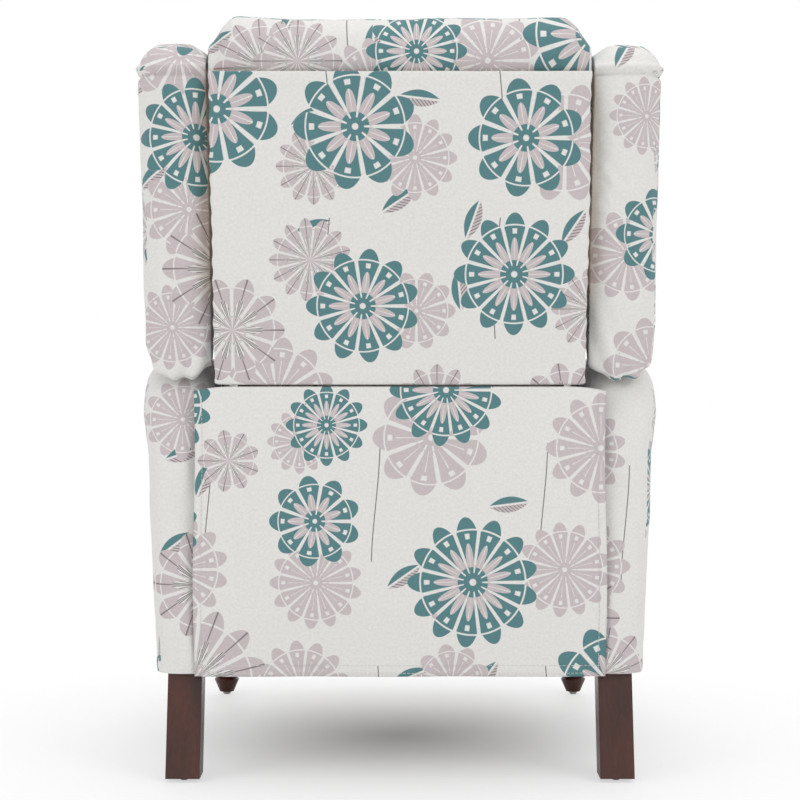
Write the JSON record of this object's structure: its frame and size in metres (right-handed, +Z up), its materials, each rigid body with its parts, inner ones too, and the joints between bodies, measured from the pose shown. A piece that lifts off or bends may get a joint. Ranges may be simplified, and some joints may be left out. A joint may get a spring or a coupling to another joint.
{
  "type": "wingback recliner",
  "caption": "Push-back wingback recliner in printed off-white cloth, with a loose rear flap and dark wood legs.",
  "frame": {"origin": "on the floor, under the middle of the chair's box", "axes": "+Z up, the chair faces -Y, its left arm is at +X"},
  "size_m": [0.69, 0.8649, 1.016],
  "materials": {
    "printed_cloth": "matte woven",
    "flap_cloth": "matte woven",
    "deck_cloth": "matte",
    "dark_wood": "satin lacquer",
    "frame_wood": "raw",
    "pale_plastic": "moulded",
    "nail_steel": "dull",
    "spring_steel": "drawn wire",
    "zinc_steel": "zinc plated",
    "black_steel": "satin black"
  },
  "bodies": {
    "base": {"arm_cover_left": "printed_cloth", "arm_cover_right": "printed_cloth", "arm_frame_left": "frame_wood", "arm_frame_right": "frame_wood", "front_cross_rail": "frame_wood", "rear_cross_rail": "frame_wood", "rear_leg_left": "dark_wood", "rear_leg_right": "dark_wood", "front_legs": "black_steel", "rear_glides": "nail_steel", "front_glides": "pale_plastic", "base_rail_left": "black_steel", "base_rail_right": "black_steel", "rail_screws": "zinc_steel", "base_bolts": "zinc_steel"},
    "back": {"back_stile_left": "frame_wood", "back_stile_right": "frame_wood", "back_bottom_rail": "frame_wood", "back_top_rail": "frame_wood", "back_springs": "spring_steel", "back_panel": "printed_cloth", "back_cushion": "printed_cloth", "headrest_roll": "printed_cloth", "wing_left": "printed_cloth", "wing_right": "printed_cloth", "back_bracket_left": "black_steel", "back_bracket_right": "black_steel"},
    "flap": {"back_flap": "flap_cloth"},
    "swing": {"swing_link_left": "black_steel", "swing_link_right": "black_steel"},
    "seat": {"seat_plate_left": "black_steel", "seat_plate_right": "black_steel", "seat_front_rail": "frame_wood", "seat_rear_rail": "frame_wood", "seat_springs": "spring_steel", "seat_deck": "deck_cloth", "seat_cushion": "printed_cloth", "seat_rivets": "zinc_steel", "swing_rivets": "zinc_steel"},
    "drive": {"drive_link_left": "black_steel", "drive_link_right": "black_steel", "drive_rivets": "zinc_steel"},
    "fold": {"fold_link_left": "black_steel", "fold_link_right": "black_steel"},
    "footrest": {"foot_bracket_left": "black_steel", "foot_bracket_right": "black_steel", "footrest_board": "frame_wood", "footrest_pad": "printed_cloth", "footrest_rivets": "zinc_steel"},
    "stay": {"stay_link_left": "black_steel", "stay_link_right": "black_steel"}
  },
  "joints": [
    {"name": "back_recline", "type": "hinge", "parent": "base", "child": "back", "pos_m": [0, 0.22256, 0.475], "axis": [-1, 0, 0], "range_deg": [0, 35]},
    {"name": "flap_hang", "type": "hinge", "parent": "back", "child": "flap", "pos_m": [0, 0.32956, 0.53], "axis": [-1, 0, 0], "range_deg": [-35.05, 0]},
    {"name": "seat_swing", "type": "hinge", "parent": "base", "child": "swing", "pos_m": [0, -0.2205, 0.372], "axis": [-1, 0, 0], "range_deg": [0, 35.05]},
    {"name": "seat_carry", "type": "hinge", "parent": "swing", "child": "seat", "pos_m": [0, -0.2205, 0.25], "axis": [-1, 0, 0], "range_deg": [-35.05, 0]},
    {"name": "foot_drive", "type": "hinge", "parent": "seat", "child": "drive", "pos_m": [0, -0.318, 0.32], "axis": [-1, 0, 0], "range_deg": [0, 85.05]},
    {"name": "foot_fold", "type": "hinge", "parent": "drive", "child": "fold", "pos_m": [0, -0.318, 0.18], "axis": [-1, 0, 0], "range_deg": [-160.05, 0]},
    {"name": "foot_turn", "type": "hinge", "parent": "fold", "child": "footrest", "pos_m": [0, -0.34231, 0.31787], "axis": [-1, 0, 0], "range_deg": [0, 165.05]},
    {"name": "foot_stay", "type": "hinge", "parent": "drive", "child": "stay", "pos_m": [0, -0.34315, 0.18], "axis": [-1, 0, 0], "range_deg": [-160.8, 0]}
  ],
  "couplings": [
    {"joint": "flap_hang", "follows": "back_recline", "ratio": -1},
    {"joint": "seat_swing", "follows": "back_recline", "ratio": 1},
    {"joint": "seat_carry", "follows": "back_recline", "ratio": -1},
    {"joint": "foot_drive", "follows": "back_recline", "ratio": 2.4286},
    {"joint": "foot_fold", "follows": "back_recline", "ratio": -4.5714},
    {"joint": "foot_turn", "follows": "back_recline", "ratio": 4.7143},
    {"joint": "foot_stay", "follows": "back_recline", "ratio": -4.5929}
  ]
}
